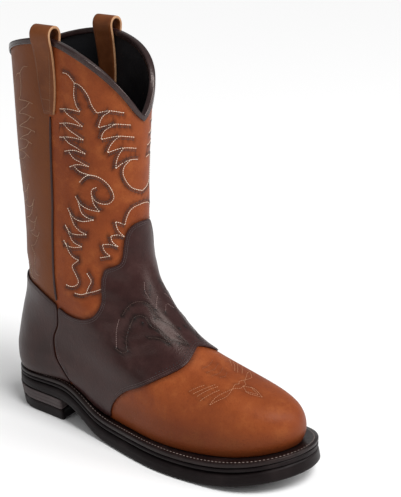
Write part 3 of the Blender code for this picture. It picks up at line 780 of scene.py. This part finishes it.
# The vamp is padded a little under the medallion, between its rows: ridge lines in mm on the outer side, with
# their height and half width in mm.
PUFFS = (
    (((-25, 8, 120), (-23, 1, 116), (-21, -8, 109), (-18, -18, 103), (-15, -27, 99)), 0.9, 4.5),
    (((-33, 11, 108), (-35, 10, 101), (-37, 8, 94)), 0.6, 3.5),
    (((-12, -1, 128), (-9, -9, 119), (-7, -18, 110), (-6, -27, 103)), 0.6, 4.0),
    (((-32, -6, 99), (-28, -16, 97), (-24, -26, 94)), 0.5, 5.0),
)
INSTEP_MIDDLE = 1.0
vamp_corners = corners_of(vamp)
lift = np.zeros(len(vamp_corners))
for points, height, width in PUFFS:
    for side in (1, -1):
        mirrored = [((x - INSTEP_MIDDLE) * side + INSTEP_MIDDLE, y, z) for x, y, z in points]
        ridge = flowing(mirrored, 8) * MM
        steps = np.linalg.norm(vamp_corners[:, None, :] - ridge[None, :, :], axis=2)
        along = np.clip(steps.argmin(axis=1) / (len(ridge) - 1), 0.03, 0.97)
        lift += np.sin(np.pi * along) ** 0.5 * height * MM * np.exp(-(steps.min(axis=1) / (width * MM)) ** 2)
shell_out = np.array([tuple(shell.find_nearest(Vector(p))[1]) for p in vamp_corners])
place_corners(vamp, vamp_corners + shell_out * lift[:, None])

vamp_skin = tree_of(vamp)
counter_skin = tree_of(counter)
COVER_ROWS = (1.7, 3.3)
for number, inset in enumerate(COVER_ROWS):
    rows = edge_rows(vamp_edge, inset * MM, vamp_skin, lambda corner: corner[2] > 0.046 or corner[1] < -0.02)
    rows += edge_rows(counter_edge, inset * MM, counter_skin, lambda corner: corner[2] > 0.05)
    sewn("cover_stitching_" + str(number + 1), rows, brown_thread, stitch=1.9 * MM, width=0.5 * MM)

# Toe edge of the vamp: a row of small punched holes beside the stitching. Each hole is a near-black bead,
# mostly sunk in the leather: painted shade for the hole's depth.
punched = thread_finish("punched_hole_shade", (0.004, 0.0025, 0.0025), (0.002, 0.0015, 0.0015))
rows = edge_rows(vamp_edge, 5.6 * MM, vamp_skin, lambda corner: corner[1] < -0.030 and corner[2] > 0.052)
sewn("vamp_holes", rows, punched, stitch=3.2 * MM, width=1.45 * MM, rise=0.20, share=0.46)

# Instep medallion: curling rows of fine stitching with punched holes among them, drawn on the outer side of
# the instep and mirrored to the inner one. Each point is in mm.
DARK_ROWS = (
    ((-27, 6, 110), (-30, 7, 103), (-34, 6, 96), (-37, 2, 89)),
    ((-40, 13, 90), (-39, 6, 87), (-37, 2, 89)),
    ((-29, 6, 106), (-25, 5, 114), (-22, 0, 116), (-20, -4, 114), (-20, -10, 108), (-18, -15, 106),
     (-17, -22, 102), (-17, -27, 97)),
    ((-29, 14, 115), (-26, 11, 122), (-21, 7, 126), (-16, 1, 126), (-14, -3, 123), (-14, -7, 118),
     (-14, -11, 114)),
    ((-25, -10, 100), (-21, -18, 100), (-18, -25, 98), (-13, -30, 98), (-8, -38, 96)),
    ((-15, -10, 114), (-9, -18, 109), (-6, -26, 104), (-8, -37, 96)),
)
PALE_ROWS = (
    ((-31, 16, 112), (-34, 16, 106), (-36, 15, 98), (-39, 12, 90)),
    ((-10, 6, 141), (-12, 4, 134), (-11, 1, 128)),
    ((-4, -3, 129), (-8, -5, 124), (-11, -7, 120)),
    ((0, -9, 122), (-5, -12, 117)),
)
PUNCHED_AT = (
    (-23, -3, 111), (-18, -15, 106), (-6, 3, 137), (-10, 0, 131), (-3, -26, 105), (-8, -30, 101),
    (-8, -37, 96), (-15, -10, 114), (-40, 12, 90), (-37, 2, 89), (-29, 6, 106), (-25, 4, 114),
    (-17, -23, 101), (-39, 7, 87), (-20, -9, 109), (-18, -27, 97), (-12, -33, 97), (-30, 7, 102),
    (-8, 2, 134), (-12, 4, 134), (-5, -12, 117), (-11, -7, 120), (-36, 4, 92), (-32, 7, 99),
)


def on_instep(side, point):
    """The nearest place of the vamp's face to a point given in mm on the outer side; side -1 mirrors it."""
    x = (point[0] - INSTEP_MIDDLE) * side + INSTEP_MIDDLE
    base, lean, _, _ = shell.find_nearest(Vector((x, point[1], point[2])) * MM)
    spot = vamp_skin.ray_cast(base + lean * 12 * MM, -lean)[0]
    return (spot or base + lean * (COVER_GAP + COVER_THICKNESS)), lean


def instep_rows(table):
    rows = []
    for side in (1, -1):
        for stroke in table:
            rows.append(row_of([on_instep(side, point) for point in flowing(stroke)]))
    return rows


sunk = instep_rows(DARK_ROWS)
sewn("medallion_stitching_dark", sunk, dark_thread, stitch=1.7 * MM, width=0.6 * MM)
rosy_thread = thread_finish("rosy_thread", (0.240, 0.155, 0.140), (0.130, 0.075, 0.070))
sewn("medallion_stitching", instep_rows(PALE_ROWS), rosy_thread, stitch=1.7 * MM, width=0.45 * MM)
# The medallion's punched holes are near-black beads as well: painted shade for their depth.
HALF_HOLE = 1.1 * MM
holes = []
for side in (1, -1):
    for point in PUNCHED_AT:
        spot, lean = on_instep(side, point)
        along = Vector((0, 1, 0)).cross(lean).normalized() * HALF_HOLE
        holes.append(([tuple(spot - along), tuple(spot + along)], [tuple(lean)] * 2))
sewn("medallion_holes", holes, punched, stitch=2.2 * MM, width=1.8 * MM, rise=0.20, share=0.82)
vamp_marks = [p for points, _ in sunk for p in points[::2]] + [spots[0] for spots, _ in holes]
marked(vamp, "burnish_and_shade", 0.9 * nearness(corners_of(vamp), vamp_marks, 1.8 * MM))

# Toe stitching: a fan of fine rows, two side leaves and a front leaf, drawn from above in mm on the outer
# half and mirrored to the inner one.
TOE_ROWS = (
    ((-34, -60), (-30, -64), (-25, -69)),
    ((-34, -64), (-28, -70), (-20, -76)),
    ((-34, -68), (-28, -73), (-20, -79)),
    ((-35, -72), (-29, -77), (-22, -82)),
    ((-34, -81), (-29, -86), (-24, -90), (-17, -90), (-10, -88), (-7, -90)),
    ((-34, -81), (-28, -83), (-21, -87), (-13, -91), (-11, -94), (-7, -94)),
    ((-7, -94), (-11, -101), (-9.5, -107), (-7, -113)),
    ((-11, -99), (-8, -106), (-7, -109)),
)
TOE_RIBS = (
    ((-14, -58), (-7, -60)),
    ((-15, -63), (-7, -65.5)),
    ((-15, -68), (-7, -71)),
    ((-12, -74), (-7, -76.5)),
)
TOE_MIDDLE = -7.0


def toe_rows(table):
    rows = []
    for side in (1, -1):
        for stroke in table:
            line = flowing(stroke)
            rows.append(row_of([on_foot((x - TOE_MIDDLE) * side + TOE_MIDDLE, y) for x, y in line]))
    return rows


toe_thread = thread_finish("toe_thread", (0.480, 0.220, 0.110), (0.280, 0.105, 0.045))
rib_thread = thread_finish("rib_thread", (0.230, 0.070, 0.026), (0.150, 0.040, 0.014))
sewn("toe_stitching", toe_rows(TOE_ROWS), toe_thread, stitch=1.8 * MM, width=0.45 * MM)
sewn("toe_ribs", toe_rows(TOE_RIBS), rib_thread, stitch=1.8 * MM, width=0.45 * MM)
toe_marks = [p for points, _ in toe_rows(TOE_ROWS + TOE_RIBS) for p in points[::2]]

# The tan leather darkens beside the toe's rows. Towards the welt, all round the foot and so at the toe's edge
# too, it is darkened with painted shade.
TOE_BURNISH = 0.30
WELT_PAINTED_SHADE = 0.30
WELT_PAINTED_SHADE_HEIGHT = 9 * MM
welt_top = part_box("welt")[1].z
above = (upper_corners[:, 2] - welt_top) / WELT_PAINTED_SHADE_HEIGHT
dark = np.maximum(dark, TOE_BURNISH * nearness(upper_corners, toe_marks, 1.5 * MM))
# Painted shade: the leather gets darker the nearer it lies to the welt, fading out over about 9 mm. It shares
# one attribute with the burnish.
dark = np.maximum(dark, WELT_PAINTED_SHADE * np.exp(-np.clip(above, 0, None) ** 1.5))
marked(upper, "burnish_and_shade", dark)

# Pull strap stitching: a row along each edge of the outer face, closed across the strap's end and higher up.
rows = []
for side, name in ((-1, "strap_outer"), (1, "strap_inner")):
    strap_skin = tree_of(bpy.data.objects[name])
    strap_low, strap_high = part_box("pull_" + name)
    middle = (strap_low.y + strap_high.y) / 2 / MM
    foot = strap_low.z / MM
    for line in (
        ((middle - 7.6, foot + 52), (middle - 6.6, foot + 26), (middle - 5.4, foot + 3)),
        ((middle + 7.6, foot + 52), (middle + 6.6, foot + 26), (middle + 5.4, foot + 3)),
        ((middle - 5.4, foot + 2.6), (middle + 5.4, foot + 2.6)),
        ((middle - 6.0, foot + 12), (middle + 6.0, foot + 12)),
    ):
        rows.append(row_of([on_side(side, y, z, strap_skin) for y, z in flowing(line)]))
strap_thread = thread_finish("strap_thread", (0.200, 0.085, 0.035), (0.120, 0.050, 0.020))
sewn("strap_stitching", rows, strap_thread, stitch=2.0 * MM, width=0.5 * MM)

# Collar stitching: one row through the binding, just above its lower edge.
COLLAR_STEP = 2
COLLAR_HEIGHTS = [half / 2 for half in range(520, 690)]
points = []
leans = []
binding_skin = tree_of(binding)
for degree in range(0, 361, COLLAR_STEP):
    hits = [on_shaft(degree, height, binding_skin) for height in COLLAR_HEIGHTS]
    lowest = min((hit for hit in hits if hit[0] is not None), key=lambda hit: hit[0].z)
    spot, lean, _, _ = binding_skin.find_nearest(lowest[0] + Vector((0, 0, 1.1 * MM)) + lowest[1] * 2 * MM)
    points.append(tuple(spot))
    leans.append(tuple(lean))
sewn("collar_stitching", [(points, leans)], dark_thread, stitch=1.8 * MM, width=0.4 * MM)

# Welt stitching: one row of heavy waxed thread in the groove round the top of the welt.
welt_corners = corners_of(welt)
welt_leans = normals_of(welt)
flat = welt_corners[welt_leans[:, 2] > 0.5]
WELT_MIDDLE = np.array((0.0, -0.01))
WELT_SLIMNESS = 2.6
WELT_STEP = 3
WELT_WINDOW = 4
GROOVE_INSET = 3.0
from_middle = flat[:, :2] - WELT_MIDDLE
bearing = np.degrees(np.arctan2(from_middle[:, 0] * WELT_SLIMNESS, from_middle[:, 1]))
distance = np.linalg.norm(from_middle, axis=1)
reach = []
for degree in range(0, 360, WELT_STEP):
    near = np.abs((bearing - degree + 180) % 360 - 180) < WELT_WINDOW
    reach.append(distance[near].max() if near.any() else np.nan)
reach = np.array(reach)
reach = np.where(np.isnan(reach), np.nanmean(reach), reach)
welt_skin = tree_of(welt)
points = []
for degree, far in zip(range(0, 360, WELT_STEP), reach):
    turn = math.radians(degree)
    way = np.array((math.sin(turn) / WELT_SLIMNESS, math.cos(turn)))
    way /= np.linalg.norm(way)
    spot = WELT_MIDDLE + way * far
    edge_spot = welt_skin.find_nearest(Vector((spot[0], spot[1], 0.05)))[0]
    points.append(tuple(edge_spot))
points = np.array(points)
run = np.roll(points, -1, axis=0) - np.roll(points, 1, axis=0)
inwards = np.column_stack([run[:, 1], -run[:, 0]])
inwards /= np.linalg.norm(inwards, axis=1, keepdims=True)
centre = WELT_MIDDLE - points[:, :2]
inwards *= np.sign((inwards * centre).sum(axis=1))[:, None]
groove = points[:, :2] + inwards * GROOVE_INSET * MM
for _ in range(2):
    groove = (np.roll(groove, 1, axis=0) + 2 * groove + np.roll(groove, -1, axis=0)) / 4
tops = [welt_skin.ray_cast(Vector((x, y, 0.1)), Vector((0, 0, -1))) for x, y in groove]
tops = [top for top in tops if top[0] is not None]
tops.append(tops[0])
welt_thread = thread_finish("welt_thread", (0.300, 0.240, 0.215), (0.080, 0.060, 0.055))
sewn("welt_stitching", [row_of(tops)], welt_thread, stitch=3.3 * MM, width=0.95 * MM, rise=0.3, share=0.66)

# Stage: a plain pale floor just under the sole, an even white sky, a sun high in front of the toe, and two
# soft lamps, beside the outer side and in front of the toe.
FLOOR_DROP = 0.0002
bpy.ops.object.select_all(action="DESELECT")
bpy.ops.mesh.primitive_plane_add(size=8.0, location=(0, 0, -FLOOR_DROP))
floor = bpy.context.view_layer.objects.active
floor.name = "floor"
floor_finish = bpy.data.materials.new("floor_finish")
floor_finish.use_nodes = True
floor_shader = floor_finish.node_tree.nodes["Principled BSDF"]
floor_shader.inputs["Base Color"].default_value = (0.92, 0.92, 0.92, 1.0)
floor_shader.inputs["Roughness"].default_value = 0.9
floor.data.materials.append(floor_finish)

world = bpy.data.worlds.new("studio")
world.use_nodes = True
sky = world.node_tree.nodes["Background"]
sky.inputs["Color"].default_value = (1.0, 1.0, 1.0, 1.0)
sky.inputs["Strength"].default_value = 0.36
bpy.context.scene.world = world
bpy.context.scene.view_settings.view_transform = "Standard"

LIT_POINT = Vector((0, 0, 0.15))
LAMPS = (
    ("key", "SUN", (-0.2, -0.9, 1.7), 0.45, 2.5),
    ("side", "AREA", (-1.7, 0.2, 0.9), 0.6, 3.0),
    ("glint", "AREA", (0.60, -1.35, 0.90), 0.7, 11.0),
)
for name, kind, spot, size, power in LAMPS:
    lamp = bpy.data.lights.new(name, kind)
    lamp.energy = power
    if kind == "SUN":
        lamp.angle = size
    else:
        lamp.size = size
    stand = bpy.data.objects.new(name, lamp)
    bpy.context.scene.collection.objects.link(stand)
    stand.location = spot
    stand.rotation_euler = (LIT_POINT - Vector(spot)).to_track_quat("-Z", "Y").to_euler()

# Camera: low on the boot's outer front quarter, as in the photograph.
AZIMUTH, ELEVATION, ROLL = math.radians(-52.1), math.radians(17.89), math.radians(0.08)
TARGET = Vector((0.0232, -0.0271, 0.1682))
DISTANCE = 1.094
FOCAL_PIXELS = 1325.7
PICTURE_HEIGHT = 497.0
SENSOR_WIDTH = 36.0
flat_share = math.cos(ELEVATION)
back = Vector((math.sin(AZIMUTH) * flat_share, -math.cos(AZIMUTH) * flat_share, math.sin(ELEVATION)))
level = Vector((math.cos(AZIMUTH), math.sin(AZIMUTH), 0.0))
rise = back.cross(level)
right = level * math.cos(ROLL) + rise * math.sin(ROLL)
up = rise * math.cos(ROLL) - level * math.sin(ROLL)
lens = bpy.data.cameras.new("camera")
lens.sensor_width = SENSOR_WIDTH
lens.lens = FOCAL_PIXELS * SENSOR_WIDTH / PICTURE_HEIGHT
lens.clip_start = 0.05
camera = bpy.data.objects.new("camera", lens)
bpy.context.scene.collection.objects.link(camera)
turned = Matrix((right, up, back)).transposed().to_4x4()
camera.matrix_world = Matrix.Translation(TARGET + back * DISTANCE) @ turned
bpy.context.scene.camera = camera
